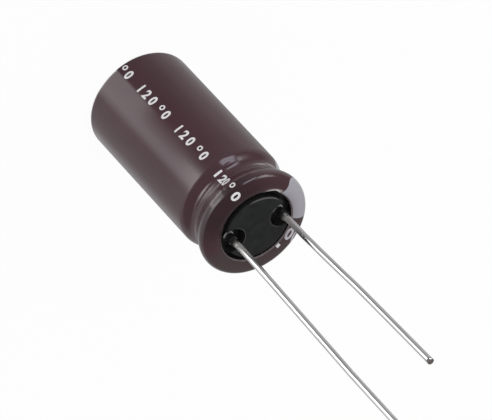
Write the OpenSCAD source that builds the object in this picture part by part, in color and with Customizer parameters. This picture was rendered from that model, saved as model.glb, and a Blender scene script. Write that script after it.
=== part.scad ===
// Radial electrolytic capacitor, 10 x 20 mm, standing on the head of its can with the leads up.
// The axis of the can is Z, and X runs from the negative lead to the positive one.

/* [Can] */
// Outside diameter of the drawn aluminium can
can_d = 10; // [9.6:0.1:10.4]
// Wall thickness of the can
can_wall = 0.3; // [0.25:0.01:0.35]
// Thickness of the can's head
head_t = 0.4; // [0.3:0.05:0.6]
// Outside radius of the corner between the head and the wall
head_corner = 0.45; // [0.35:0.05:0.8]
// Height of the sleeved body, from the table to the crest of the rim
body_h = 20.5; // [19.5:0.5:25]
// Length of each arm of the pressure vent scored in the head
vent_l = 5.6; // [4:0.2:7]
// Depth of the score
vent_depth = 0.14; // [0.08:0.02:0.2]

/* [Bead and rim] */
// Depth of the rolled bead in the metal
bead_depth = 0.7; // [0.5:0.05:0.8]
// Length of the bead's slope on the side of the head
bead_in = 1.7; // [1.4:0.1:2]
// Length of the bead's slope on the side of the rim
bead_out = 2.1; // [1.8:0.1:2.4]
// Outside radius of the curl that closes the can over the bung
curl_r = 0.8; // [0.7:0.05:0.9]
// How far the curl stands proud of the can's wall
curl_proud = 0.1; // [0:0.05:0.15]
// How far round the metal curls, from level outwards
curl_turn = 130; // [120:5:140]

/* [Sleeve] */
// Thickness of the shrunk sleeve on the wall
sleeve_t = 0.15; // [0.1:0.01:0.2]
// Thickness of the sleeve where it has shrunk most, over the rim
sleeve_rim_t = 0.18; // [0.15:0.01:0.22]
// Depth of the hollow that the sleeve shows over the bead
sleeve_dip = 0.56; // [0.3:0.02:0.6]
// How far the sleeve reaches in over the head
sleeve_lap = 1; // [0.9:0.05:1.4]
// How much further round than the metal the sleeve folds over the rim
sleeve_past = 7; // [4:1:12]

/* [Bung] */
// Height of the rubber bung
bung_h = 4.7; // [4.4:0.1:5.2]
// Width of the floor of the trough between the curled rim and the raised middle
trough_w = 0.42; // [0.3:0.01:0.5]
// How far the raised middle stays below the crest of the rim
plateau_drop = 0.26; // [0.1:0.02:0.4]
// Radius of the rounded edge of the raised middle
plateau_round = 0.22; // [0.1:0.02:0.3]
// Depth of the trough round the raised middle
trough_depth = 0.72; // [0.5:0.02:0.74]
// Width of the slope from the trough's floor up to the curled rim
lip_slope = 0.18; // [0.1:0.02:0.3]
// Radius of the round recess at each lead
recess_r = 1.25; // [1:0.05:1.4]
// Depth of the recess
recess_depth = 0.8; // [0.6:0.05:1]
// Wall of the lip round each lead's hole
lip_wall = 0.2; // [0.15:0.05:0.3]
// Height of the lip
lip_h = 0.24; // [0.1:0.02:0.3]

/* [Leads] */
// Distance between the leads where they leave the bung
lead_pitch = 5.1; // [4.8:0.1:5.4]
// Diameter of the tinned wire
wire_d = 0.6; // [0.5:0.05:0.7]
// Diameter of the tab's stem inside the bung
stem_d = 1.1; // [0.9:0.05:1.3]
// Diameter of the tab's neck, where it passes the lip
neck_d = 0.8; // [0.7:0.05:0.85]
// How far the neck stands above the raised middle of the bung
neck_proud = 0.25; // [0.1:0.05:0.5]
// Height of the weld bead between the neck and the wire
weld_h = 0.55; // [0.4:0.05:0.8]
// Length of the positive lead's wire
anode_wire = 27.4; // [15:0.1:30]
// Angle that the positive lead leans out
anode_lean = 0.8; // [0:0.1:3]
// Length of the negative lead's wire
cathode_wire = 22.4; // [10:0.1:25]
// Angle that the negative lead leans out
cathode_lean = 1.4; // [0:0.1:3]

/* [Winding] */
// Space round the wound element
winding_play = 0.4; // [0.3:0.05:0.8]
// Space between the wound element and the bung
winding_gap = 1.2; // [0.8:0.1:2]
// Diameter of the hole that the winding pin leaves
core_d = 1.5; // [1:0.1:2]
// Height by which the paper stands past the foils at each end
paper_proud = 0.6; // [0.4:0.1:1]
// Distance between one turn and the next, as drawn at the ends
turn_pitch = 0.36; // [0.3:0.02:0.5]
// Thickness of the paper edge, as drawn at the ends
paper_t = 0.16; // [0.12:0.02:0.2]
// Thickness of the closing tape
tape_t = 0.08; // [0.05:0.01:0.12]
// Width of the closing tape
tape_w = 8; // [5:0.5:10]
// Width of the flat part of each tab
paddle_w = 2; // [1.6:0.1:2.2]
// Thickness of the flat part of each tab
paddle_t = 0.25; // [0.2:0.01:0.3]
// Length of the flat part inside the winding
paddle_l = 11; // [8:0.5:12]
// Play of the flat part in its slot
slot_play = 0.03; // [0.02:0.01:0.05]

/* [Hidden] */
$fn = 64;
// Straight steps in each slope of the bead
slope_steps = 10;
// Degrees in one step of a drawn arc
arc_step = 15;
// Points in one turn of the paper's edge
spiral_steps = 20;
// Step between the top of the weld bead and the wire
weld_lip = 0.05;
// How far the weld bead is drawn in at its foot, and how far it swells past the neck
weld_in = 0.02;
weld_out = 0.02;
// Height of the stem's round end below the bung, and of the flat that it runs into
stem_end_h = 0.18;
flat_start_h = 0.3;
// Overlap that makes a cut pass clean through a face
cut = 0.5;

// Radii of the can
can_r = can_d / 2;
bore_r = can_r - can_wall;
// Radius of the hole that the sleeve leaves at the head
sleeve_head_r = can_r - sleeve_lap;
// Levels of the head
head_z = sleeve_t;
floor_z = head_z + head_t;
// Centre of the curl and of the sleeve's fold over it
curl_x = can_r + curl_proud - curl_r;
curl_z = body_h - sleeve_rim_t - curl_r;
// How far round the sleeve folds over the rim
sleeve_turn = curl_turn + sleeve_past;
// Level at which the bead is deepest, and where its slope starts
bead_z = curl_z - bead_out;
bead_start = bead_z - bead_in;

// Levels of the bung
plateau_z = body_h - plateau_drop;
bung_z = plateau_z - bung_h;
trough_z = plateau_z - trough_depth;
recess_z = plateau_z - recess_depth;
lip_z = recess_z + lip_h;
// Outer corner of the metal's edge, where the rubber swells against it
curl_end = [curl_x + curl_r * cos(curl_turn), curl_z + curl_r * sin(curl_turn)];
// Radius of the trough's floor on the side of the rim, and of the raised middle
trough_r = curl_end[0] - lip_slope;
plateau_r = trough_r - trough_w;

// Stem, neck and wire
lead_x = lead_pitch / 2;
wire_r = wire_d / 2;
stem_r = stem_d / 2;
neck_r = neck_d / 2;
stem_top = recess_z - neck_d;
neck_top = plateau_z + neck_proud;
// The tab flattens between the bung and the winding
flat_z = bung_z - winding_gap;

// The wound element stands on the floor of the can
winding_r = bore_r - winding_play;
winding_top = flat_z;
winding_h = winding_top - floor_z;
// Its slots for the flats of the tabs
slot_t = paddle_t + 2 * slot_play;
slot_w = paddle_w + 2 * slot_play;
tape_z = floor_z + (winding_h - tape_w) / 2;

// Half a cosine wave, from 0 to 1
function swell(t) = (1 - cos(180 * t)) / 2;

// Points of an arc about c, from angle a to angle b
function arc(c, r, a, b) =
    let (n = max(2, ceil(abs(b - a) / arc_step)))
    [for (i = [0:n]) let (w = a + (b - a) * i / n) [c[0] + r * cos(w), c[1] + r * sin(w)]];

// The wall from the start of the bead, through the bead, out to the rim and round its curl
function beaded_wall(wall_r, deep_r, fold_r, turn) = concat(
    [for (i = [0:slope_steps])
        [wall_r - (wall_r - deep_r) * swell(i / slope_steps), bead_start + bead_in * i / slope_steps]],
    [for (i = [1:slope_steps - 1])
        [deep_r + (curl_x + fold_r - deep_r) * swell(i / slope_steps), bead_z + bead_out * i / slope_steps]],
    arc([curl_x, curl_z], fold_r, 0, turn));

// Last to first
function reversed(p) = [for (i = [len(p) - 1:-1:0]) p[i]];

// A line moved to its left by d, each point along the mean normal of its two neighbours
function left_of(p, d) = [for (i = [0:len(p) - 1])
    let (a = p[max(0, i - 1)], b = p[min(len(p) - 1, i + 1)], t = (b - a) / norm(b - a))
    [p[i][0] - d * t[1], p[i][1] + d * t[0]]];

can_line = beaded_wall(can_r, can_r - bead_depth, curl_r, curl_turn);
bore_line = left_of(can_line, can_wall);

// Printed plastic sleeve, shrunk over the can and folded in at both ends
module sleeve() {
    outer = concat(
        [[sleeve_head_r, 0]],
        arc([can_r - head_corner, head_z + head_corner], head_corner + sleeve_t, -90, 0),
        beaded_wall(can_r + sleeve_t, can_r + sleeve_t - sleeve_dip, curl_r + sleeve_rim_t, sleeve_turn));
    inner = concat(
        [[sleeve_head_r, head_z]],
        arc([can_r - head_corner, head_z + head_corner], head_corner, -90, 0),
        beaded_wall(can_r, can_r - sleeve_dip, curl_r, sleeve_turn));
    color([0.27, 0.19, 0.21])
        rotate_extrude()
            polygon(concat(outer, reversed(inner)));
}

// Drawn aluminium can, beaded and curled over the bung, with a scored vent in its head
module can() {
    outer = concat(
        [[0, head_z]],
        arc([can_r - head_corner, head_z + head_corner], head_corner, -90, 0),
        can_line);
    inner = concat(
        [[0, floor_z]],
        arc([bore_r - head_corner, floor_z + head_corner], head_corner, -90, 0),
        bore_line);
    color([0.78, 0.78, 0.8])
        difference() {
            rotate_extrude()
                polygon(concat(outer, reversed(inner)));
            for (a = [0, 90])
                translate([0, 0, head_z])
                    rotate([0, 0, a])
                        rotate([45, 0, 0])
                            cube([vent_l, vent_depth * sqrt(2), vent_depth * sqrt(2)], center = true);
        }
}

// Rubber bung, squeezed by the bead and held by the curl
module bung() {
    // Index of the first bore point above the bung's underside
    above = [for (i = [0:len(bore_line) - 1]) if (bore_line[i][1] > bung_z) i][0];
    side = [for (i = [above:len(bore_line) - 1]) bore_line[i]];
    outline = concat(
        [[0, bung_z], [bore_r, bung_z]],
        side,
        [curl_end, [trough_r, trough_z], [plateau_r, trough_z]],
        arc([plateau_r - plateau_round, plateau_z - plateau_round], plateau_round, 0, 90),
        [[0, plateau_z]]);
    color([0.09, 0.09, 0.09])
        difference() {
            union() {
                difference() {
                    rotate_extrude()
                        polygon(outline);
                    for (s = [-1, 1])
                        intersection() {
                            translate([s * lead_x, 0, recess_z])
                                cylinder(h = recess_depth + cut, r = recess_r);
                            translate([0, 0, recess_z])
                                cylinder(h = recess_depth + cut, r = trough_r);
                        }
                }
                for (s = [-1, 1])
                    translate([s * lead_x, 0, recess_z])
                        cylinder(h = lip_h, r = neck_r + lip_wall);
            }
            for (s = [-1, 1])
                translate([s * lead_x, 0, 0]) {
                    translate([0, 0, bung_z - cut])
                        cylinder(h = stem_top - bung_z + cut, r = stem_r);
                    translate([0, 0, stem_top - cut])
                        cylinder(h = lip_z - stem_top + 2 * cut, r = neck_r);
                }
        }
}

// A lead: the weld bead on the neck, and the wire that leans towards +X out of the bead
module lead(length, lean) {
    rotate_extrude()
        polygon([
            [0, 0],
            [neck_r - weld_in, 0],
            [neck_r + weld_out, weld_h / 3],
            [neck_r + weld_out, weld_h * 2 / 3],
            [wire_r + weld_lip, weld_h],
            [0, weld_h]]);
    translate([0, 0, weld_h / 2])
        rotate([0, lean, 0])
            cylinder(h = length, r = wire_r);
}

// Positive lead, the longer one
module anode_lead() {
    color([0.82, 0.82, 0.82])
        translate([lead_x, 0, neck_top])
            lead(anode_wire, anode_lean);
}

// Negative lead
module cathode_lead() {
    color([0.82, 0.82, 0.82])
        translate([-lead_x, 0, neck_top])
            rotate([0, 0, 180])
                lead(cathode_wire, cathode_lean);
}

// Aluminium tab: a flat stitched to the foil, a round stem in the bung and a neck through the lip
module tab() {
    translate([0, 0, bung_z])
        cylinder(h = stem_top - bung_z, r = stem_r);
    translate([0, 0, stem_top])
        cylinder(h = neck_top - stem_top, r = neck_r);
    hull() {
        translate([0, 0, bung_z - stem_end_h])
            cylinder(h = stem_end_h, r = stem_r, $fn = 32);
        translate([-paddle_t / 2, -paddle_w / 2, flat_z])
            cube([paddle_t, paddle_w, flat_start_h]);
    }
    translate([-paddle_t / 2, -paddle_w / 2, flat_z - paddle_l])
        cube([paddle_t, paddle_w, paddle_l]);
}

// Tab of the positive lead
module anode_tab() {
    color([0.75, 0.76, 0.78])
        translate([lead_x, 0, 0])
            tab();
}

// Tab of the negative lead
module cathode_tab() {
    color([0.7, 0.71, 0.73])
        translate([-lead_x, 0, 0])
            tab();
}

// Edge of the paper, one spiral from the core to the outside
module paper_edge(height) {
    turns = (winding_r - core_d / 2) / turn_pitch - 1;
    steps = ceil(turns * spiral_steps);
    start_r = core_d / 2 + turn_pitch / 2;
    spiral = [for (i = [0:steps]) let (w = 360 * turns * i / steps, r = start_r + turn_pitch * w / 360)
        [r, w]];
    linear_extrude(height = height)
        polygon(concat(
            [for (p = spiral) [p[0] * cos(p[1]), p[0] * sin(p[1])]],
            [for (p = reversed(spiral)) [(p[0] + paper_t) * cos(p[1]), (p[0] + paper_t) * sin(p[1])]]));
}

// Wound element: two foils and two papers rolled together, the papers wider than the foils
module winding() {
    color([0.85, 0.78, 0.62])
        difference() {
            union() {
                translate([0, 0, floor_z + paper_proud])
                    cylinder(h = winding_h - 2 * paper_proud, r = winding_r);
                translate([0, 0, floor_z])
                    paper_edge(paper_proud);
                translate([0, 0, winding_top - paper_proud])
                    paper_edge(paper_proud);
            }
            translate([0, 0, floor_z - cut])
                cylinder(h = winding_h + 2 * cut, r = core_d / 2);
            for (s = [-1, 1])
                translate([s * lead_x - slot_t / 2, -slot_w / 2, flat_z - paddle_l])
                    cube([slot_t, slot_w, paddle_l + cut]);
        }
}

// Tape that closes the wound element
module winding_tape() {
    color([0.8, 0.72, 0.3])
        translate([0, 0, tape_z])
            difference() {
                cylinder(h = tape_w, r = winding_r + tape_t);
                translate([0, 0, -cut])
                    cylinder(h = tape_w + 2 * cut, r = winding_r);
            }
}

sleeve();
can();
bung();
anode_lead();
cathode_lead();
anode_tab();
cathode_tab();
winding();
winding_tape();
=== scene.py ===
import math

import bmesh
import bpy
from mathutils import Matrix, Quaternion, Vector


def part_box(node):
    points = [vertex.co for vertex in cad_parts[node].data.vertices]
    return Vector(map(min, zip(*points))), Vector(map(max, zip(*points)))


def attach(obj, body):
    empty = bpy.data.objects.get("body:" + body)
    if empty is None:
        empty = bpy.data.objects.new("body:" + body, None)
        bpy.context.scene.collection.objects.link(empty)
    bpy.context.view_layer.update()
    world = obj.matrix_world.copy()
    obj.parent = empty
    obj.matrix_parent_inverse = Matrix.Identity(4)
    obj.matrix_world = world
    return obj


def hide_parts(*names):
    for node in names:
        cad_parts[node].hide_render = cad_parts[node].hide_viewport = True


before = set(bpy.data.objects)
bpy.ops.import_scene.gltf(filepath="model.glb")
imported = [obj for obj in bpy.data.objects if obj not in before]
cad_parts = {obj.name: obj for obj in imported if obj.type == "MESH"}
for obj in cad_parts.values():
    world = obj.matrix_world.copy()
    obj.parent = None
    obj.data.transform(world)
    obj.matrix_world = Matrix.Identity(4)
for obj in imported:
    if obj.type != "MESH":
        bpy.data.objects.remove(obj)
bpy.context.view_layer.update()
MM = 0.001


# Camera
# The photograph looks down on the bung end from 41 degrees above the level, with a long lens, and the
# picture is rolled until the leads point to the lower right.
CAMERA_EYE = Vector((129.7, -318.7, 305.5)) * MM
CAMERA_AIM = Vector((-1.74, 3.52, 14.81)) * MM
CAMERA_ROLL = math.radians(137.2)
CAMERA_LENS = 376.2
camera_data = bpy.data.cameras.new("photo_camera")
camera_data.lens = CAMERA_LENS
camera_data.sensor_width = 36
camera_data.sensor_fit = "HORIZONTAL"
camera_data.clip_start = 0.01
camera_data.clip_end = 10
camera = bpy.data.objects.new("photo_camera", camera_data)
bpy.context.scene.collection.objects.link(camera)
camera_turn = (CAMERA_AIM - CAMERA_EYE).to_track_quat("-Z", "Y") @ Quaternion((0, 0, 1), CAMERA_ROLL)
camera.matrix_world = Matrix.Translation(CAMERA_EYE) @ camera_turn.to_matrix().to_4x4()
bpy.context.scene.camera = camera


# Wound element
# One roll of two foils and two papers, soaked in electrolyte. The paper edges stand past the foils
# at both ends, so the ends look like wet blotting paper and the side like the last turn of paper.
def surface_group():
    """The shared effect: noise that shades a colour from dark to light and gives some relief."""
    group = bpy.data.node_groups.new("uneven_surface", "ShaderNodeTree")
    sockets = group.interface
    for name, kind, value in (("Dark", "NodeSocketColor", (0.5, 0.5, 0.5, 1)),
                              ("Light", "NodeSocketColor", (0.8, 0.8, 0.8, 1)),
                              ("Stretch", "NodeSocketVector", (1, 1, 1)),
                              ("Scale", "NodeSocketFloat", 1.0),
                              ("Detail", "NodeSocketFloat", 3.0),
                              ("Relief", "NodeSocketFloat", 0.0)):
        socket = sockets.new_socket(name=name, in_out="INPUT", socket_type=kind)
        socket.default_value = value
    sockets.new_socket(name="Colour", in_out="OUTPUT", socket_type="NodeSocketColor")
    sockets.new_socket(name="Normal", in_out="OUTPUT", socket_type="NodeSocketVector")
    given = group.nodes.new("NodeGroupInput")
    result = group.nodes.new("NodeGroupOutput")
    coordinates = group.nodes.new("ShaderNodeTexCoord")
    stretched = group.nodes.new("ShaderNodeVectorMath")
    stretched.operation = "MULTIPLY"
    noise = group.nodes.new("ShaderNodeTexNoise")
    share = group.nodes.new("ShaderNodeMapRange")
    share.inputs["From Min"].default_value = 0.3
    share.inputs["From Max"].default_value = 0.7
    colour = group.nodes.new("ShaderNodeMix")
    colour.data_type = "RGBA"
    bump = group.nodes.new("ShaderNodeBump")
    links = group.links
    links.new(coordinates.outputs["Object"], stretched.inputs[0])
    links.new(given.outputs["Stretch"], stretched.inputs[1])
    links.new(stretched.outputs["Vector"], noise.inputs["Vector"])
    links.new(given.outputs["Scale"], noise.inputs["Scale"])
    links.new(given.outputs["Detail"], noise.inputs["Detail"])
    links.new(noise.outputs["Fac"], share.inputs["Value"])
    links.new(share.outputs["Result"], colour.inputs["Factor"])
    links.new(given.outputs["Dark"], colour.inputs["A"])
    links.new(given.outputs["Light"], colour.inputs["B"])
    links.new(noise.outputs["Fac"], bump.inputs["Height"])
    links.new(given.outputs["Relief"], bump.inputs["Distance"])
    links.new(colour.outputs["Result"], result.inputs["Colour"])
    links.new(bump.outputs["Normal"], result.inputs["Normal"])
    return group


uneven_surface = surface_group()


def uneven(tree, dark, light, per_mm, stretch=(1, 1, 1), relief=0.0, detail=3):
    """Places the shared group in a material; its noise is counted per mm and its relief is in mm."""
    node = tree.nodes.new("ShaderNodeGroup")
    node.node_tree = uneven_surface
    node.inputs["Dark"].default_value = (*dark, 1)
    node.inputs["Light"].default_value = (*light, 1)
    node.inputs["Scale"].default_value = per_mm / MM
    node.inputs["Stretch"].default_value = stretch
    node.inputs["Detail"].default_value = detail
    node.inputs["Relief"].default_value = relief * MM
    return node


def tree_and_shader(material):
    """The node tree of a material, and its Principled shader."""
    return material.node_tree, material.node_tree.nodes["Principled BSDF"]


def new_material(name, roughness, dark, light, per_mm, metallic=0, **values):
    """A Principled material that is coloured and given its relief by the shared group."""
    material = bpy.data.materials.new(name)
    material.use_nodes = True
    tree, shader = tree_and_shader(material)
    shader.inputs["Roughness"].default_value = roughness
    shader.inputs["Metallic"].default_value = metallic
    node = uneven(tree, dark, light, per_mm, **values)
    tree.links.new(node.outputs["Colour"], shader.inputs["Base Color"])
    tree.links.new(node.outputs["Normal"], shader.inputs["Normal"])
    return material


def finish_node(name, material):
    """Gives a CAD node its material."""
    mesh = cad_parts[name].data
    mesh.materials.clear()
    mesh.materials.append(material)


paper = new_material("wet_paper", roughness=0.55, dark=(0.45, 0.34, 0.19), light=(0.62, 0.5, 0.3),
                     per_mm=2.2, stretch=(1, 1, 0.4), relief=0.02, detail=5)
finish_node("winding", paper)


# Closing tape
# A strip of brown film glued round the roll so that it can't unwind in the can.
tape = new_material("closing_tape", roughness=0.3, dark=(0.48, 0.3, 0.06), light=(0.55, 0.36, 0.08),
                    per_mm=0.9, stretch=(1, 1, 3), relief=0.01)
finish_node("winding_tape", tape)


# Lead tabs
# Aluminium rod, pressed flat where it is stitched to the foil and left round where the rubber grips it.
tab = new_material("tab_aluminium", roughness=0.35, dark=(0.5, 0.51, 0.53), light=(0.72, 0.73, 0.75),
                   per_mm=6, stretch=(1, 1, 0.08), relief=0.004, metallic=1)
finish_node("anode_tab", tab)
finish_node("cathode_tab", tab)


# Can
# Drawn from aluminium sheet, scored across the head, beaded into the bung and curled over it.
can = new_material("drawn_aluminium", roughness=0.3, dark=(0.62, 0.625, 0.64), light=(0.78, 0.785, 0.8),
                   per_mm=3.5, stretch=(1, 1, 0.06), relief=0.004, metallic=1)
finish_node("can", can)


# Bung
# Moulded black rubber with a trough that the curled rim bites into, and a round recess with a low
# lip at each lead. Its raised middle is nearly level with the rim, as in the photograph, and so a
# little higher than in the CAD.
CAN_RADIUS = 5.0 * MM
CAN_WALL = 0.3 * MM
BODY_TOP = 20.5 * MM
SLEEVE_RIM = 0.18 * MM
CURL_RADIUS = 0.8 * MM
CURL_PROUD = 0.1 * MM
BEAD_DEPTH = 0.7 * MM
BEAD_IN = 1.7 * MM
BEAD_OUT = 2.1 * MM
CURL_X = CAN_RADIUS + CURL_PROUD - CURL_RADIUS
CURL_Z = BODY_TOP - SLEEVE_RIM - CURL_RADIUS
BEAD_Z = CURL_Z - BEAD_OUT
CURL_TURN = 130
CURL_END = (CURL_X + CURL_RADIUS * math.cos(math.radians(CURL_TURN)),
            CURL_Z + CURL_RADIUS * math.sin(math.radians(CURL_TURN)))
LIP_SLOPE = 0.18 * MM
TROUGH_RADIUS = CURL_END[0] - LIP_SLOPE
TROUGH_WIDTH = 0.42 * MM
TROUGH_CORNER = 0.06 * MM
PLATEAU_RADIUS = TROUGH_RADIUS - TROUGH_WIDTH
PLATEAU_Z = BODY_TOP - 0.26 * MM
PLATEAU_TOP = BODY_TOP - 0.05 * MM
PLATEAU_ROUND = 0.14 * MM
PLATEAU_STEPS = 6
TROUGH_Z = PLATEAU_Z - 0.72 * MM
RECESS_RADIUS = 1.25 * MM
RECESS_Z = PLATEAU_Z - 0.8 * MM
LIP_RADIUS = 0.6 * MM
LIP_HEIGHT = 0.24 * MM
LIP_ROOT = 0.3 * MM
NECK_RADIUS = 0.4 * MM
CUT_PAST = 1 * MM
LEAD_X = 2.55 * MM
BUNG_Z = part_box("bung")[0][2]
BUNG_SIDE = CAN_RADIUS - CAN_WALL
BUNG_FOOT = 0.2 * MM
BUNG_STEPS = 12
BUNG_ROUNDING = 0.05 * MM
FOOT_MARGIN = 0.05 * MM
# Painted highlight greys for the edge of the raised middle, the recesses' edges and the lips
PLATEAU_HIGHLIGHT_GREY = (0.11, 0.11, 0.105)
RECESS_HIGHLIGHT_GREY = (0.06, 0.06, 0.058)
LIP_HIGHLIGHT_GREY = (0.48, 0.48, 0.47)


def arc(centre, radius, start, end, steps):
    """Points (r, z) of an arc, angles in degrees."""
    turns = [math.radians(start + (end - start) * i / steps) for i in range(steps + 1)]
    return [(centre[0] + radius * math.cos(t), centre[1] + radius * math.sin(t)) for t in turns]


def swell(t):
    """Half a cosine wave, from 0 to 1."""
    return (1 - math.cos(math.pi * t)) / 2


def placed(name, shape, *materials):
    """Turns a bmesh into an object with these materials, and frees the bmesh."""
    mesh = bpy.data.meshes.new(name)
    shape.to_mesh(mesh)
    shape.free()
    for material in materials:
        mesh.materials.append(material)
    piece = bpy.data.objects.new(name, mesh)
    bpy.context.scene.collection.objects.link(piece)
    return piece


def spun(name, outline, steps, material):
    """A closed outline of (r, z) points, spun round the can's axis."""
    shape = bmesh.new()
    points = [shape.verts.new((r, 0, z)) for r, z in outline]
    for start, end in zip(points, points[1:] + points[:1]):
        shape.edges.new((start, end))
    bmesh.ops.spin(shape, geom=shape.verts[:] + shape.edges[:], cent=(0, 0, 0), axis=(0, 0, 1),
                   angle=math.tau, steps=steps, use_merge=True)
    bmesh.ops.remove_doubles(shape, verts=shape.verts[:], dist=0.001 * MM)
    bmesh.ops.recalc_face_normals(shape, faces=shape.faces[:])
    for face in shape.faces:
        face.smooth = True
    return placed(name, shape, material)


def rod(name, radius, low, high, x):
    """A plain upright cylinder, used as a cutter or added to a piece and then deleted."""
    shape = bmesh.new()
    bmesh.ops.create_cone(shape, cap_ends=True, segments=64, radius1=radius, radius2=radius,
                          depth=high - low, matrix=Matrix.Translation((x, 0, (low + high) / 2)))
    return placed(name, shape)


def combine(piece, tool, operation):
    """Applies a boolean with the tool, and deletes the tool."""
    modifier = piece.modifiers.new("combine", "BOOLEAN")
    modifier.operation = operation
    modifier.solver = "EXACT"
    modifier.object = tool
    depsgraph = bpy.context.evaluated_depsgraph_get()
    result = bpy.data.meshes.new_from_object(piece.evaluated_get(depsgraph))
    piece.modifiers.clear()
    old = piece.data
    piece.data = result
    bpy.data.meshes.remove(old)
    bpy.data.objects.remove(tool)


def worked_out(tree, operation, *inputs):
    """A math node on these sockets and numbers, in order; returns its output."""
    node = tree.nodes.new("ShaderNodeMath")
    node.operation = operation
    for i, value in enumerate(inputs):
        if isinstance(value, (int, float)):
            node.inputs[i].default_value = value
        else:
            tree.links.new(value, node.inputs[i])
    return node.outputs[0]


def product(tree, share, *others):
    """The product of these sockets and numbers."""
    for other in others:
        share = worked_out(tree, "MULTIPLY", share, other)
    return share


def distance(tree, x, y):
    """The length of the flat vector (x, y)."""
    squared = worked_out(tree, "ADD", product(tree, x, x), product(tree, y, y))
    return worked_out(tree, "SQRT", squared)


def mixed(tree, share, first, second):
    """A mix of two colours, each a socket or a plain colour."""
    node = tree.nodes.new("ShaderNodeMix")
    node.data_type = "RGBA"
    tree.links.new(share, node.inputs["Factor"])
    for name, value in (("A", first), ("B", second)):
        if isinstance(value, tuple):
            node.inputs[name].default_value = (*value, 1)
        else:
            tree.links.new(value, node.inputs[name])
    return node.outputs["Result"]


def ramp(tree, value, start, end):
    """A smooth share that is 0 at the start and 1 at the end."""
    node = tree.nodes.new("ShaderNodeMapRange")
    node.interpolation_type = "SMOOTHSTEP"
    node.inputs["From Min"].default_value = start
    node.inputs["From Max"].default_value = end
    tree.links.new(value, node.inputs["Value"])
    return node.outputs["Result"]


def fade(tree, value, place, start, end):
    """A smooth share of a length: 0 at start mm past the place, and 1 at end mm past it."""
    return ramp(tree, value, place + start * MM, place + end * MM)


def near_angle(tree, angle, middle, start, end):
    """A share that fades in from start to end, counted in degrees away from the middle angle."""
    off = worked_out(tree, "ABSOLUTE", worked_out(tree, "SUBTRACT", angle, math.radians(middle)))
    return ramp(tree, off, math.radians(start), math.radians(end))


def place_group():
    """The shared place of a surface point: x, y, height, radius, and angle round the can from -X."""
    group = bpy.data.node_groups.new("round_the_can", "ShaderNodeTree")
    for name in ("X", "Y", "Height", "Radius", "Angle"):
        group.interface.new_socket(name=name, in_out="OUTPUT", socket_type="NodeSocketFloat")
    result = group.nodes.new("NodeGroupOutput")
    coordinates = group.nodes.new("ShaderNodeTexCoord")
    split = group.nodes.new("ShaderNodeSeparateXYZ")
    group.links.new(coordinates.outputs["Object"], split.inputs["Vector"])
    x = split.outputs["X"]
    y = split.outputs["Y"]
    angle = worked_out(group, "ARCTAN2", product(group, y, -1), product(group, x, -1))
    for name, value in (("X", x), ("Y", y), ("Height", split.outputs["Z"]),
                        ("Radius", distance(group, x, y)), ("Angle", angle)):
        group.links.new(value, result.inputs[name])
    return group


round_the_can = place_group()


def place_in(tree):
    """Places the shared group of places in a material; returns its outputs."""
    node = tree.nodes.new("ShaderNodeGroup")
    node.node_tree = round_the_can
    return node.outputs


def base_colour(shader):
    """The socket that colours the shader so far."""
    return shader.inputs["Base Color"].links[0].from_socket


rubber = new_material("bung_rubber", roughness=0.45, dark=(0.0105, 0.011, 0.0115),
                      light=(0.019, 0.02, 0.021), per_mm=1.3, detail=4)
tree, shader = tree_and_shader(rubber)
shader.inputs["Specular IOR Level"].default_value = 0.45
grain = uneven(tree, dark=(0, 0, 0), light=(1, 1, 1), per_mm=14, relief=0.0025)
tree.links.new(grain.outputs["Normal"], shader.inputs["Normal"])
here = place_in(tree)
# Painted highlight: the edge of the raised middle is made greyer on its near side
bung_highlight = product(tree, near_angle(tree, here["Angle"], middle=67, start=32, end=20),
                 fade(tree, here["Radius"], PLATEAU_RADIUS, start=-0.17, end=-0.11),
                 fade(tree, here["Radius"], PLATEAU_RADIUS, start=-0.01, end=-0.06))
shade = mixed(tree, bung_highlight, base_colour(shader), PLATEAU_HIGHLIGHT_GREY)
# Painted highlights too: the inner side of each recess's edge is a little greyer, and the near side of
# each lip much paler
aside = worked_out(tree, "SUBTRACT", worked_out(tree, "ABSOLUTE", here["X"]), LEAD_X)
from_lead = distance(tree, aside, here["Y"])
bung_highlight = product(tree, fade(tree, from_lead, RECESS_RADIUS, start=0.08, end=0.05),
                 fade(tree, aside, 0, start=-0.3, end=-0.8),
                 fade(tree, here["Height"], PLATEAU_TOP, start=-0.07, end=-0.05))
shade = mixed(tree, bung_highlight, shade, RECESS_HIGHLIGHT_GREY)
bung_highlight = product(tree, fade(tree, from_lead, LIP_RADIUS, start=-0.09, end=-0.13),
                 fade(tree, here["Y"], 0, start=0.1, end=-0.15),
                 fade(tree, here["Height"], RECESS_Z + LIP_HEIGHT, start=-0.06, end=-0.03))
tree.links.new(mixed(tree, bung_highlight, shade, LIP_HIGHLIGHT_GREY), shader.inputs["Base Color"])

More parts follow.
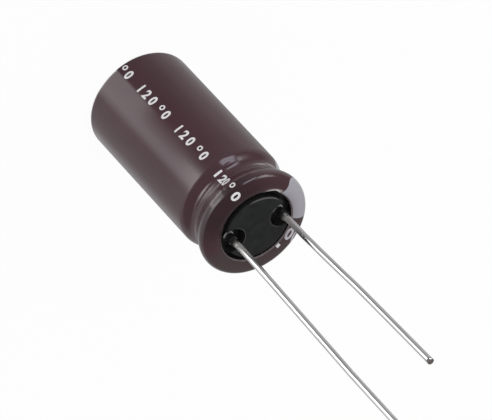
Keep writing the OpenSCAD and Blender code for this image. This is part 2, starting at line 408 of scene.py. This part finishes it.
bung_outline = [(0, BUNG_Z), (BUNG_SIDE - BUNG_FOOT, BUNG_Z), (BUNG_SIDE, BUNG_Z + BUNG_FOOT)]
for i in range(BUNG_STEPS + 1):
    into_bead = i / BUNG_STEPS
    z = BEAD_Z + BEAD_IN * (into_bead - 1)
    if z > BUNG_Z + BUNG_FOOT + FOOT_MARGIN:
        bung_outline.append((BUNG_SIDE - BEAD_DEPTH * swell(into_bead), z))
for i in range(1, BUNG_STEPS):
    out_of_bead = swell(i / BUNG_STEPS)
    bung_outline.append((BUNG_SIDE - BEAD_DEPTH + (BEAD_DEPTH + CURL_PROUD) * out_of_bead,
                         BEAD_Z + BEAD_OUT * i / BUNG_STEPS))
bung_outline += arc((CURL_X, CURL_Z), CURL_RADIUS - CAN_WALL, 0, CURL_TURN, BUNG_STEPS)
bung_outline += [CURL_END, (TROUGH_RADIUS, TROUGH_Z + TROUGH_CORNER),
                 (TROUGH_RADIUS - TROUGH_CORNER, TROUGH_Z), (PLATEAU_RADIUS + TROUGH_CORNER, TROUGH_Z),
                 (PLATEAU_RADIUS, TROUGH_Z + TROUGH_CORNER)]
bung_outline += arc((PLATEAU_RADIUS - PLATEAU_ROUND, PLATEAU_TOP - PLATEAU_ROUND), PLATEAU_ROUND, 0, 90,
                    PLATEAU_STEPS)
bung_outline += [(0, PLATEAU_TOP)]
bung = spun("rubber_bung", bung_outline, steps=128, material=rubber)
for name, tool_radius, low, high, operation in (
        ("recess", RECESS_RADIUS, RECESS_Z, PLATEAU_Z + CUT_PAST, "DIFFERENCE"),
        ("lip", LIP_RADIUS, RECESS_Z - LIP_ROOT, RECESS_Z + LIP_HEIGHT, "UNION"),
        ("hole", NECK_RADIUS, BUNG_Z - CUT_PAST, PLATEAU_Z + CUT_PAST, "DIFFERENCE")):
    for side in (-1, 1):
        combine(bung, rod(name, tool_radius, low, high, side * LEAD_X), operation)
rounding = bung.modifiers.new("rounding", "BEVEL")
rounding.width = BUNG_ROUNDING
rounding.segments = 3
rounding.limit_method = "ANGLE"
rounding.angle_limit = math.radians(40)
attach(bung, "root")
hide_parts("bung")


# Leads
# Tinned copper-clad steel wire, welded to the tab's neck. Both lean out a little, and the negative
# one bows back. The weld's heat left the tin dull and grey near the bung; right at the weld the tin is
# painted near black, as painted shade standing in for its reflection of the black bung.
WIRE_RADIUS = 0.3 * MM
WIRE_STEPS = 60
NECK_TOP = PLATEAU_Z + 0.25 * MM
WELD_TOP = 0.55 * MM
TIP_HEIGHT = 0.08 * MM
TIP_RADIUS = WIRE_RADIUS * 0.66
ROOM_FOR_TIP = 0.1 * MM
TIN_ROUGHNESS = 0.14
DULL_ROUGHER = 0.26
DULL_LESS_METAL = 0.45
# Painted shade at the weld: more metal and a near-black tin colour
WELD_DARK_MORE_METAL = 0.35
DULL_TIN = (0.58, 0.57, 0.55)
WELD_PAINTED_DARK_TIN = (0.13, 0.125, 0.12)
tin = new_material("bright_tin", TIN_ROUGHNESS, dark=(0.66, 0.66, 0.67), light=(0.84, 0.84, 0.84),
                   per_mm=3, stretch=(1, 1, 0.12), relief=0.006, detail=4, metallic=1)
tree, shader = tree_and_shader(tin)
height = place_in(tree)["Height"]
greyer_share = fade(tree, height, NECK_TOP, start=4.5, end=0.6)
# Painted shade: the tin at the weld is made near black, for its reflection of the black bung
weld_painted_dark = fade(tree, height, NECK_TOP, start=0.8, end=0.35)
rough = worked_out(tree, "MULTIPLY_ADD", greyer_share, DULL_ROUGHER, TIN_ROUGHNESS)
tree.links.new(rough, shader.inputs["Roughness"])
metal = worked_out(tree, "MULTIPLY_ADD", greyer_share, -DULL_LESS_METAL, 1)
metal = worked_out(tree, "MULTIPLY_ADD", weld_painted_dark, WELD_DARK_MORE_METAL, metal)
tree.links.new(metal, shader.inputs["Metallic"])
shade = mixed(tree, greyer_share, base_colour(shader), DULL_TIN)
tree.links.new(mixed(tree, weld_painted_dark, shade, WELD_PAINTED_DARK_TIN), shader.inputs["Base Color"])
cut_end = new_material("cut_wire_end", roughness=0.5, dark=(0.1, 0.085, 0.075), light=(0.3, 0.27, 0.25),
                       per_mm=8, metallic=0.4)


def wire_lead(name, places):
    """A round wire through (x, z, radius) places, swept ring by ring; its last ring and cap are cut."""
    shape = bmesh.new()
    ring = bmesh.ops.create_circle(shape, cap_ends=True, segments=32, radius=places[0][2],
                                   matrix=Matrix.Translation((places[0][0], 0, places[0][1])))["verts"]
    edges = list({edge for vert in ring for edge in vert.link_edges})
    for (x0, z0, r0), (x1, z1, r1) in zip(places, places[1:]):
        grown = bmesh.ops.extrude_edge_only(shape, edges=edges)["geom"]
        ring = [item for item in grown if isinstance(item, bmesh.types.BMVert)]
        edges = [item for item in grown if isinstance(item, bmesh.types.BMEdge)]
        bmesh.ops.translate(shape, verts=ring, vec=(x1 - x0, 0, z1 - z0))
        bmesh.ops.scale(shape, verts=ring, vec=(r1 / r0, r1 / r0, 1),
                        space=Matrix.Translation((-x1, 0, -z1)))
    cap = bmesh.ops.contextual_create(shape, geom=edges)["faces"][0]
    cap.material_index = 1
    for edge in cap.edges:
        for face in edge.link_faces:
            face.material_index = 1
    bmesh.ops.recalc_face_normals(shape, faces=shape.faces[:])
    for face in shape.faces:
        face.smooth = len(face.verts) == 4
    return placed(name, shape, tin, cut_end)


def lead_places(side, weld, path, length):
    """The weld as (height, radius) places, then the wire along (height, distance out) places, in mm."""
    places = [(side * LEAD_X, NECK_TOP + z * MM, r * MM) for z, r in weld]
    for i in range(WIRE_STEPS + 1):
        z = WELD_TOP + (length - WELD_TOP) * i / WIRE_STEPS
        above = next(j for j in range(1, len(path)) if path[j][0] * MM >= z - 1e-9 or j == len(path) - 1)
        z0, x0 = path[above - 1]
        z1, x1 = path[above]
        out = x0 + (x1 - x0) * (z / MM - z0) / (z1 - z0)
        places.append((side * (LEAD_X + out * MM), NECK_TOP + z, WIRE_RADIUS))
    end = places[-1]
    places.append((end[0], end[1] + TIP_HEIGHT, TIP_RADIUS))
    return places


ANODE_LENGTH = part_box("anode_lead")[1][2] - NECK_TOP - ROOM_FOR_TIP
CATHODE_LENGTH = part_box("cathode_lead")[1][2] - NECK_TOP - ROOM_FOR_TIP
ANODE_WELD = [(0, 0.37), (0.2, 0.36), (0.4, 0.33), (0.5, 0.31)]
CATHODE_WELD = [(0, 0.376), (0.06, 0.4), (0.16, 0.42), (0.3, 0.41), (0.42, 0.36), (0.5, 0.315)]
ANODE_PATH = [(0, 0), (0.6, -0.05), (3.1, -0.07), (5, -0.04), (7.7, 0.01), (11.7, 0.09), (15.7, 0.17),
              (19.7, 0.25), (30, 0.26)]
CATHODE_PATH = [(0, 0), (0.6, 0.07), (3.5, 0.11), (6.1, 0.2), (8.6, 0.31), (11.1, 0.44), (13.6, 0.51),
                (18.5, 0.63), (30, 0.9)]
anode = wire_lead("anode_wire", lead_places(1, ANODE_WELD, ANODE_PATH, ANODE_LENGTH))
cathode = wire_lead("cathode_wire", lead_places(-1, CATHODE_WELD, CATHODE_PATH, CATHODE_LENGTH))
for piece, node in ((anode, "anode_lead"), (cathode, "cathode_lead")):
    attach(piece, "root")
    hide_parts(node)


# Sleeve
# Printed plastic tube, shrunk over the can: it bridges the bead, creases there, and folds in over
# the rim and round the edge of the head. The fold's cut edge is a little paler, and it stops short
# on one side, where the fold's last stretch is whitened with a painted highlight.
SLEEVE = 0.15 * MM
SLEEVE_GAP = 0.01 * MM
SLEEVE_DIP = 0.56 * MM
HEAD_CORNER = 0.45 * MM
HEAD_OPENING = 4.0 * MM
CORNER_STEPS = 8
WALL_STEPS = 6
FOLD_TURN = CURL_TURN + 7
BEAD_START = BEAD_Z - BEAD_IN
STRIPE_CENTRE = math.radians(172)
STRIPE_HALF = math.radians(29)
STRIPE_TWIST = math.radians(18)
PLUM = (0.069, 0.0315, 0.04)
PLUM_DEEP = (0.06, 0.027, 0.035)
# Painted shade and painted light for the two sides of the rim
PLUM_PAINTED_SHADE = (0.034, 0.0155, 0.0195)
PLUM_PAINTED_LIGHT = (0.071, 0.049, 0.05)
STRIPE_GREY = (0.39, 0.38, 0.415)
# Painted highlight tint for the fold's short side and some creases
FILM_HIGHLIGHT_TINT = (0.7, 0.65, 0.63)
# The short side of the fold: its middle and half width, where on the curl it starts to draw back, and
# how much of the rest it leaves uncovered
SHORT_MIDDLE = -126
SHORT_HALF = 11
SHORT_FROM = 100
SHORT_SHARE = 0.55
# A painted highlight whitens the fold over this stretch of the curl, a little wider than it is short
WHITE_FROM = 102
WHITE_FULL = 128
WHITE_WIDER = 1.8


def sleeve_side(wall, fold, start, steps):
    """One face of the film as (r, z) points: head corner, wall, bead and rim."""
    corner_top = SLEEVE + HEAD_CORNER
    deep = wall - SLEEVE_DIP
    line = [(HEAD_OPENING, start)]
    line += arc((CAN_RADIUS - HEAD_CORNER, corner_top), HEAD_CORNER + wall - CAN_RADIUS, -90, 0,
                CORNER_STEPS)
    line += [(wall, corner_top + (BEAD_START - corner_top) * i / WALL_STEPS)
             for i in range(1, WALL_STEPS)]
    line += [(wall - SLEEVE_DIP * swell(i / steps), BEAD_START + BEAD_IN * i / steps)
             for i in range(steps + 1)]
    line += [(deep + (CURL_X + fold - deep) * swell(i / steps), BEAD_Z + BEAD_OUT * i / steps)
             for i in range(1, steps)]
    line += arc((CURL_X, CURL_Z), fold, 0, FOLD_TURN, steps)
    return line


# Creases of the shrunk film: angle round the can, height, half width in degrees, half height, rise (mm)
CREASES = [(-90, 16.66, 6, 0.13, 0.035), (-89, 16.27, 4.5, 0.25, -0.022), (-48, 17.1, 16, 0.14, 0.05),
           (-65, 18.9, 1.8, 0.5, 0.035), (-50, 19.0, 2.6, 0.5, 0.045), (-80, 18.9, 2.2, 0.4, 0.03),
           (-98, 19.0, 4, 0.4, 0.03), (-114, 17.8, 18, 0.13, 0.05), (-138, 17.4, 16, 0.13, 0.055),
           (-111, 19.75, 12, 0.13, 0.03), (-47, 19.7, 12, 0.12, 0.03)]
# The sides that the camera doesn't see have plain creases across the bead, at uneven heights
CREASES += [(angle, 17.9 + 0.5 * math.sin(angle), 2.5, 0.6, 0.03) for angle in range(20, 220, 17)]
# Painted highlights along creases: angle, height, half width, half height, share
CREASE_HIGHLIGHTS = [(-128, 17.4, 9, 0.09, 0.5), (-147, 17.12, 9, 0.09, 0.5), (-48, 17.08, 9, 0.1, 0.22),
            (-50, 19.1, 2, 0.2, 0.2)]


def at_marks(marks, around, z):
    """The sum of the marks' smooth bumps at that angle in degrees and that height in mm."""
    total = 0
    for angle, height, half_width, half_height, size in marks:
        off = (around - angle + 180) % 360 - 180
        total += size * math.exp(-(off / half_width) ** 2 - ((z - height) / half_height) ** 2)
    return total


def crease(around, z):
    """How far the creases lift the film at that angle in degrees and that height in mm."""
    return at_marks(CREASES, around, z) * MM


film = new_material("sleeve_film", roughness=0.17, dark=PLUM_DEEP, light=PLUM, per_mm=0.35,
                    stretch=(1, 1, 0.4), relief=0.006, detail=2)
tree, shader = tree_and_shader(film)
shader.inputs["IOR"].default_value = 1.5
here = place_in(tree)
angle = here["Angle"]
# Painted shade darkens the rim on one side, and painted light makes it paler and greyer on the other
on_rim = fade(tree, here["Height"], 0, start=18.9, end=19.4)
rim_painted_shade = product(tree, on_rim, near_angle(tree, angle, middle=120, start=62, end=22))
shade = mixed(tree, rim_painted_shade, base_colour(shader), PLUM_PAINTED_SHADE)
greyer_share = product(tree, on_rim, near_angle(tree, angle, middle=-90, start=95, end=65))
shade = mixed(tree, greyer_share, shade, PLUM_PAINTED_LIGHT)
# The print turned a little as the film was drawn in
twist = product(tree, fade(tree, here["Height"], 0, start=18.9, end=20.3), STRIPE_TWIST)
middle = worked_out(tree, "ADD", twist, STRIPE_CENTRE - math.pi)
off = worked_out(tree, "ABSOLUTE", worked_out(tree, "SUBTRACT", angle, middle))
shade = mixed(tree, worked_out(tree, "LESS_THAN", off, STRIPE_HALF), shade, STRIPE_GREY)
# Painted highlights, kept per point on the film, mix the colour towards the pale tint
highlight_note = tree.nodes.new("ShaderNodeAttribute")
highlight_note.attribute_name = "film_highlight"
tree.links.new(mixed(tree, highlight_note.outputs["Fac"], shade, FILM_HIGHLIGHT_TINT), shader.inputs["Base Color"])
film_edge = new_material("sleeve_cut_edge", roughness=0.35, dark=(0.12, 0.09, 0.095),
                         light=(0.2, 0.16, 0.165), per_mm=2)

sleeve_outer = sleeve_side(CAN_RADIUS + SLEEVE, CURL_RADIUS + SLEEVE_RIM, start=0, steps=44)
sleeve_inner = sleeve_side(CAN_RADIUS + SLEEVE_GAP, CURL_RADIUS + SLEEVE_GAP, start=SLEEVE, steps=10)
sleeve = spun("shrink_sleeve", sleeve_outer + sleeve_inner[::-1], steps=288, material=film)
sleeve.data.materials.append(film_edge)
# The rows of the outer face, by height in mm; a point nearer to its row than this is on that face
outer_radius = {round(z / MM, 3): r for r, z in sleeve_outer}
ON_FACE = 0.05 * MM
film_highlight = sleeve.data.attributes.new("film_highlight", "FLOAT", "POINT")
for vert in sleeve.data.vertices:
    radius = math.hypot(vert.co.x, vert.co.y)
    around = math.degrees(math.atan2(vert.co.y, vert.co.x))
    turn = math.degrees(math.atan2(vert.co.z - CURL_Z, radius - CURL_X))
    z = vert.co.z / MM
    if turn > SHORT_FROM and vert.co.z > CURL_Z:
        short = math.exp(-((around - SHORT_MIDDLE) / SHORT_HALF) ** 2)
        white = min(1, max(0, (turn - WHITE_FROM) / (WHITE_FULL - WHITE_FROM)))
        film_highlight.data[vert.index].value = white * min(1, WHITE_WIDER * short)
        reach = math.hypot(vert.co.z - CURL_Z, radius - CURL_X)
        turn = math.radians(SHORT_FROM + (turn - SHORT_FROM) * (1 - SHORT_SHARE * short))
        pulled = (CURL_X + reach * math.cos(turn)) / radius
        vert.co = (vert.co.x * pulled, vert.co.y * pulled, CURL_Z + reach * math.sin(turn))
    elif abs(radius - outer_radius.get(round(z, 3), 0)) < ON_FACE:
        film_highlight.data[vert.index].value = at_marks(CREASE_HIGHLIGHTS, around, z)
        grown = 1 + crease(around, z) / radius
        vert.co.x *= grown
        vert.co.y *= grown
# The cut edge is the one row of faces on the rim that leans by the fold's turn and a right angle
edge_lean = math.cos(math.radians(FOLD_TURN + 90))
LEAN_MARGIN = 0.05
for face in sleeve.data.polygons:
    out = math.hypot(face.center.x, face.center.y)
    facing = (face.normal.x * face.center.x + face.normal.y * face.center.y) / out
    if face.center.z > CURL_Z and abs(facing - edge_lean) < LEAN_MARGIN and out < CURL_END[0]:
        face.material_index = 1
        face.use_smooth = False
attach(sleeve, "root")
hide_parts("sleeve")


# Print
# White ink on the film: a row of plain numbers along the can, printed flat before the tube shrank,
# so the row follows the bead and runs over the rim. A larger number and a block show on the far side
# of the rim, and the stripe carries plain minus dashes.
INK_THICKNESS = 0.012 * MM
# A character of the usual weight comes out about as tall as asked when its size is the height over this
GLYPH_SHARE = 0.73
# Characters are sliced this finely, so that they follow the film
SLICE_ALONG = 0.08 * MM
SLICE_ACROSS = 0.15 * MM
ink = new_material("white_ink", roughness=0.35, dark=(0.7, 0.68, 0.7), light=(0.84, 0.83, 0.84), per_mm=5)
thin_ink = new_material("thin_white_ink", roughness=0.35, dark=(0.42, 0.39, 0.44),
                        light=(0.6, 0.57, 0.62), per_mm=2.5)
dash_ink = new_material("plum_ink", roughness=0.3, dark=PLUM_DEEP, light=PLUM, per_mm=5)

face_line = sleeve_outer[1:]
face_length = [0.0]
for (r0, z0), (r1, z1) in zip(face_line, face_line[1:]):
    face_length.append(face_length[-1] + math.hypot(r1 - r0, z1 - z0))
# Lengths are counted so that they equal the height on the straight wall, above this height
ABOVE_CORNER = 2 * MM
wall_start = next(i for i, (r, z) in enumerate(face_line) if z > ABOVE_CORNER)
length_shift = face_line[wall_start][1] - face_length[wall_start]
face_length = [length + length_shift for length in face_length]


def on_sleeve(length, around, proud):
    """The point on the film at that length along it and that angle round it, standing proud."""
    last = len(face_length) - 1
    i = next((k for k in range(1, last) if face_length[k] >= length), last)
    t = (length - face_length[i - 1]) / (face_length[i] - face_length[i - 1])
    (r0, z0), (r1, z1) = face_line[i - 1], face_line[i]
    along = Vector((r1 - r0, z1 - z0)).normalized()
    z = z0 + (z1 - z0) * t
    r = r0 + (r1 - r0) * t + crease(math.degrees(around), z / MM)
    r += along.y * proud
    z -= along.x * proud
    return Vector((r * math.cos(around), r * math.sin(around), z))


def printed(name, word, height, length, around, material=ink, rise=0.0, weight=0.05, squeeze=1.0):
    """A character laid on the film, centred there; it reads along the can, top to the stripe."""
    letters = bpy.data.curves.new(name, "FONT")
    letters.body = word
    letters.size = height / GLYPH_SHARE
    letters.offset = height * weight
    source = bpy.data.objects.new(name, letters)
    bpy.context.scene.collection.objects.link(source)
    depsgraph = bpy.context.evaluated_depsgraph_get()
    flat = bpy.data.meshes.new_from_object(source.evaluated_get(depsgraph))
    bpy.data.objects.remove(source)
    shape = bmesh.new()
    shape.from_mesh(flat)
    bpy.data.meshes.remove(flat)
    low = [min(v.co[axis] for v in shape.verts) for axis in (0, 1)]
    high = [max(v.co[axis] for v in shape.verts) for axis in (0, 1)]
    middle = Vector(((low[0] + high[0]) / 2, (low[1] + high[1]) / 2, 0))
    for axis, step in ((0, SLICE_ALONG), (1, SLICE_ACROSS)):
        normal = Vector((1 - axis, axis, 0))
        for i in range(1, int((high[axis] - low[axis]) / step) + 1):
            bmesh.ops.bisect_plane(shape, geom=shape.verts[:] + shape.edges[:] + shape.faces[:],
                                   plane_co=normal * (low[axis] + i * step), plane_no=normal)
    bmesh.ops.remove_doubles(shape, verts=shape.verts[:], dist=0.0005 * MM)
    skin = bmesh.ops.extrude_face_region(shape, geom=shape.faces[:])
    top = {item for item in skin["geom"] if isinstance(item, bmesh.types.BMVert)}
    for vert in shape.verts:
        proud = INK_THICKNESS if vert in top else -INK_THICKNESS
        across = (vert.co.y - middle.y + rise) / (CAN_RADIUS + SLEEVE)
        vert.co = on_sleeve(length + (vert.co.x - middle.x) * squeeze, around - across, proud)
    bmesh.ops.recalc_face_normals(shape, faces=shape.faces[:])
    piece = placed(name, shape, material)
    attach(piece, "root")


# Each group of marks: character, step along the row in mm, and degrees that the film turned it by
GROUP = [("1", 0.0, 0), ("2", 0.98, 0), ("0", 2.0, 0), ("o", 3.3, 0), ("0", 4.25, 0)]
RIM_GROUP = [("1", 0.17, 1), ("2", 0.92, 1), ("0", 1.56, 1), ("o", 2.82, 1.5), ("0", 3.9, 4)]
GROUP_STARTS = [-2.52, 3.9, 10.32, 16.74]
ROW_ANGLE = math.radians(-76.7)
ROW_HEIGHT = 0.92 * MM
ROW_MARGIN = 0.5 * MM
RING_HEIGHT = 0.78 * MM
RING_RISE = 0.2 * MM
row_end = face_length[-1]
groups = [GROUP, GROUP, GROUP, RIM_GROUP]
row = [(word, (start + step) * MM, turned)
       for start, group in zip(GROUP_STARTS, groups) for word, step, turned in group]
row = [mark for mark in row if ROW_MARGIN < mark[1] < row_end - ROW_MARGIN]
for count, (word, length, turned) in enumerate(row, 1):
    row_angle = ROW_ANGLE + math.radians(turned)
    if word == "o":
        printed(f"row_mark_{count}", word, RING_HEIGHT, length, row_angle, rise=RING_RISE, weight=0.03)
    else:
        printed(f"row_mark_{count}", word, ROW_HEIGHT, length, row_angle)

FAR_ANGLE = math.radians(137)
FAR_HEIGHT = 1.55 * MM
BLOCK_ANGLE = math.radians(115.5)
BLOCK_HEIGHT = 0.4 * MM
BLOCK_BACK = 0.28 * MM
DASH_HEIGHT = 3.2 * MM
DASH_PLACES = (3.4, 8.4, 13.4)
# Each large mark: character, and its distance back from the end of the row in mm
FAR_MARKS = [("0", 0.45), ("0", 1.2), ("1", 1.9)]
for count, (word, back) in enumerate(FAR_MARKS, 1):
    printed(f"far_mark_{count}", word, FAR_HEIGHT, row_end - back * MM, FAR_ANGLE, thin_ink, squeeze=0.6)
printed("far_block", "1", BLOCK_HEIGHT, row_end - BLOCK_BACK, BLOCK_ANGLE, weight=0.2, squeeze=1.35)
for count, along in enumerate(DASH_PLACES, 1):
    printed(f"stripe_dash_{count}", "-", DASH_HEIGHT, along * MM, STRIPE_CENTRE, dash_ink)


# Studio
# A white table and surround. Shiny surfaces see a darker room with soft cards standing round the
# table, and the table glows a little for the camera, so that it shows white and still takes the shadow.
GLOW_SHARE = 0.95
TABLE_WHITE = (0.9, 0.9, 0.9, 1)
DARK_ROOM = 0.2
BRIGHTEST = 5.0
TABLE_HALF = 3
TABLE_DROP = 0.01 * MM
CARD_DISTANCE = 250 * MM
# The cards' brightness by the angle from the camera's side, for three distances from the can
NEAR_CARDS = [(-180, 0.37), (-164, 0.37), (-146, 0.5), (-90, 0.52), (-60, 0.28), (-40, 0.18), (-8.5, 0.16),
              (-5.5, 2.2), (38, 2.35), (58, 0.8), (115, 0.6), (136, 0.7), (156, 0.57), (180, 0.38)]
MIDDLE_CARDS = [(-180, 0.37), (-164, 0.37), (-146, 0.5), (-90, 0.52), (-60, 0.28), (-40, 0.16),
                (-15, 0.12), (-4, 0.5), (16, 1.4), (32, 2.1), (42, 1.95), (56, 0.75), (115, 0.6),
                (136, 0.7), (156, 0.57), (180, 0.38)]
FAR_CARDS = [(-180, 0.5), (-100, 0.55), (-60, 0.42), (-12, 0.28), (0, 0.5), (8, 1.7), (18, 4.2),
             (40, 3.2), (50, 1.6), (62, 1.0), (80, 0.8), (100, 0.55), (180, 0.5)]

table = bpy.data.materials.new("white_table")
table.use_nodes = True
tree = table.node_tree
tree.nodes.clear()


def cards(tree, turn, stops):
    """Card brightness as a share of the brightest; the turn runs from 0 to 1 round the table."""
    band = tree.nodes.new("ShaderNodeValToRGB")
    elements = band.color_ramp.elements
    elements.remove(elements[1])
    for i, (degrees, level) in enumerate(stops):
        position = degrees / 360 + 0.5
        element = elements.new(position) if i else elements[0]
        element.position = position
        element.color = (*[level / BRIGHTEST] * 3, 1)
    tree.links.new(turn, band.inputs["Fac"])
    return band.outputs["Color"]


here = place_in(tree)
from_can = here["Radius"]
camera_side = math.atan2(CAMERA_EYE.y - CAMERA_AIM.y, CAMERA_EYE.x - CAMERA_AIM.x)
table_angle = worked_out(tree, "ARCTAN2", here["Y"], here["X"])
bearing = worked_out(tree, "WRAP", worked_out(tree, "SUBTRACT", table_angle, camera_side),
                     math.pi, -math.pi)
# An upright wall shows the table along lines that start at the wall, so the cards are drawn along them
wall_share = worked_out(tree, "MINIMUM", worked_out(tree, "DIVIDE", CAN_RADIUS + SLEEVE, from_can), 1)
wall_turn = worked_out(tree, "DIVIDE", bearing, worked_out(tree, "SUBTRACT", 2, wall_share))
sight = worked_out(tree, "ADD", bearing, product(tree, wall_share, worked_out(tree, "SINE", wall_turn)))
turn = worked_out(tree, "ADD", worked_out(tree, "DIVIDE", sight, math.tau), 0.5)
near = cards(tree, turn, NEAR_CARDS)
near = mixed(tree, fade(tree, from_can, 0, start=11, end=14), near, cards(tree, turn, MIDDLE_CARDS))
far = mixed(tree, fade(tree, from_can, 0, start=19.5, end=25), near, cards(tree, turn, FAR_CARDS))
shown = mixed(tree, fade(tree, from_can, 0, start=80, end=110), far, (DARK_ROOM / BRIGHTEST,) * 3)

light_path = tree.nodes.new("ShaderNodeLightPath")
glossy = light_path.outputs["Is Glossy Ray"]
camera_share = product(tree, light_path.outputs["Is Camera Ray"], GLOW_SHARE)
matt = tree.nodes.new("ShaderNodeBsdfDiffuse")
matt.inputs["Color"].default_value = TABLE_WHITE
glow = tree.nodes.new("ShaderNodeEmission")
tree.links.new(mixed(tree, glossy, (1.0, 1.0, 1.0), shown), glow.inputs["Color"])
tree.links.new(worked_out(tree, "MULTIPLY_ADD", glossy, BRIGHTEST - 1, 1), glow.inputs["Strength"])
seen = tree.nodes.new("ShaderNodeMixShader")
output = tree.nodes.new("ShaderNodeOutputMaterial")
tree.links.new(worked_out(tree, "ADD", camera_share, glossy), seen.inputs["Fac"])
tree.links.new(matt.outputs[0], seen.inputs[1])
tree.links.new(glow.outputs[0], seen.inputs[2])
tree.links.new(seen.outputs[0], output.inputs["Surface"])

floor_shape = bmesh.new()
bmesh.ops.create_grid(floor_shape, x_segments=1, y_segments=1, size=TABLE_HALF,
                      matrix=Matrix.Translation((0, 0, -TABLE_DROP)))
floor = placed("white_table", floor_shape, table)


def low_card(name, turn, low, size, strength, colour):
    """A glowing card that shows only in reflections; low is its lower edge's height, in mm."""
    material = bpy.data.materials.new(name)
    material.use_nodes = True
    tree = material.node_tree
    tree.nodes.clear()
    glow = tree.nodes.new("ShaderNodeEmission")
    glow.inputs["Color"].default_value = (*colour, 1)
    glow.inputs["Strength"].default_value = strength
    output = tree.nodes.new("ShaderNodeOutputMaterial")
    tree.links.new(glow.outputs[0], output.inputs["Surface"])
    shape = bmesh.new()
    bmesh.ops.create_grid(shape, x_segments=1, y_segments=1, size=0.5)
    card = placed(name, shape, material)
    width, height = size
    card.matrix_world = (Matrix.Rotation(math.radians(turn), 4, "Z")
                         @ Matrix.Translation((CARD_DISTANCE, 0, (low + height / 2) * MM))
                         @ Matrix.Rotation(math.pi / 2, 4, "Y")
                         @ Matrix.Diagonal((height * MM, width * MM, 1, 1)))
    card.visible_camera = False
    card.visible_diffuse = False
    card.visible_shadow = False


# For the glint on the can's shoulder and for the light line on the rim
low_card("glint_card", turn=-112, low=0, size=(106, 52), strength=4.8, colour=(0.88, 0.9, 1))
low_card("rim_card", turn=-143, low=44, size=(134, 28), strength=6.0, colour=(1, 0.98, 0.97))

# The room is white for the camera, dark in reflections, and lights matt surfaces less from overhead
LEVEL_LIGHT = 1.12
OVERHEAD_LIGHT = 0.5
world = bpy.data.worlds.new("white_surround")
bpy.context.scene.world = world
world.use_nodes = True
tree = world.node_tree
background = tree.nodes["Background"]
background.inputs["Color"].default_value = (1, 1, 1, 1)
light_path = tree.nodes.new("ShaderNodeLightPath")
direction = tree.nodes.new("ShaderNodeTexCoord")
split = tree.nodes.new("ShaderNodeSeparateXYZ")
tree.links.new(direction.outputs["Generated"], split.inputs["Vector"])
matt_light = tree.nodes.new("ShaderNodeMapRange")
for name, value in (("From Min", 0.2), ("From Max", 0.9),
                    ("To Min", LEVEL_LIGHT), ("To Max", OVERHEAD_LIGHT)):
    matt_light.inputs[name].default_value = value
tree.links.new(split.outputs["Z"], matt_light.inputs["Value"])
matt_room = product(tree, matt_light.outputs["Result"], light_path.outputs["Is Diffuse Ray"])
dark_room = product(tree, light_path.outputs["Is Glossy Ray"], DARK_ROOM)
white_room = light_path.outputs["Is Camera Ray"]
lit = worked_out(tree, "ADD", worked_out(tree, "ADD", matt_room, dark_room), white_room)
tree.links.new(lit, background.inputs["Strength"])

# One soft lamp from above on the left gives the object a little form
lamp_data = bpy.data.lights.new("soft_lamp", "AREA")
lamp_data.shape = "SQUARE"
lamp_data.size = 0.25
lamp_data.energy = 0.35
lamp = bpy.data.objects.new("soft_lamp", lamp_data)
lamp.location = (-0.1, -0.2, 0.35)
lamp.rotation_euler = (-lamp.location).to_track_quat("-Z", "Y").to_euler()
lamp.visible_glossy = False
bpy.context.scene.collection.objects.link(lamp)
bpy.context.scene.view_settings.view_transform = "Standard"
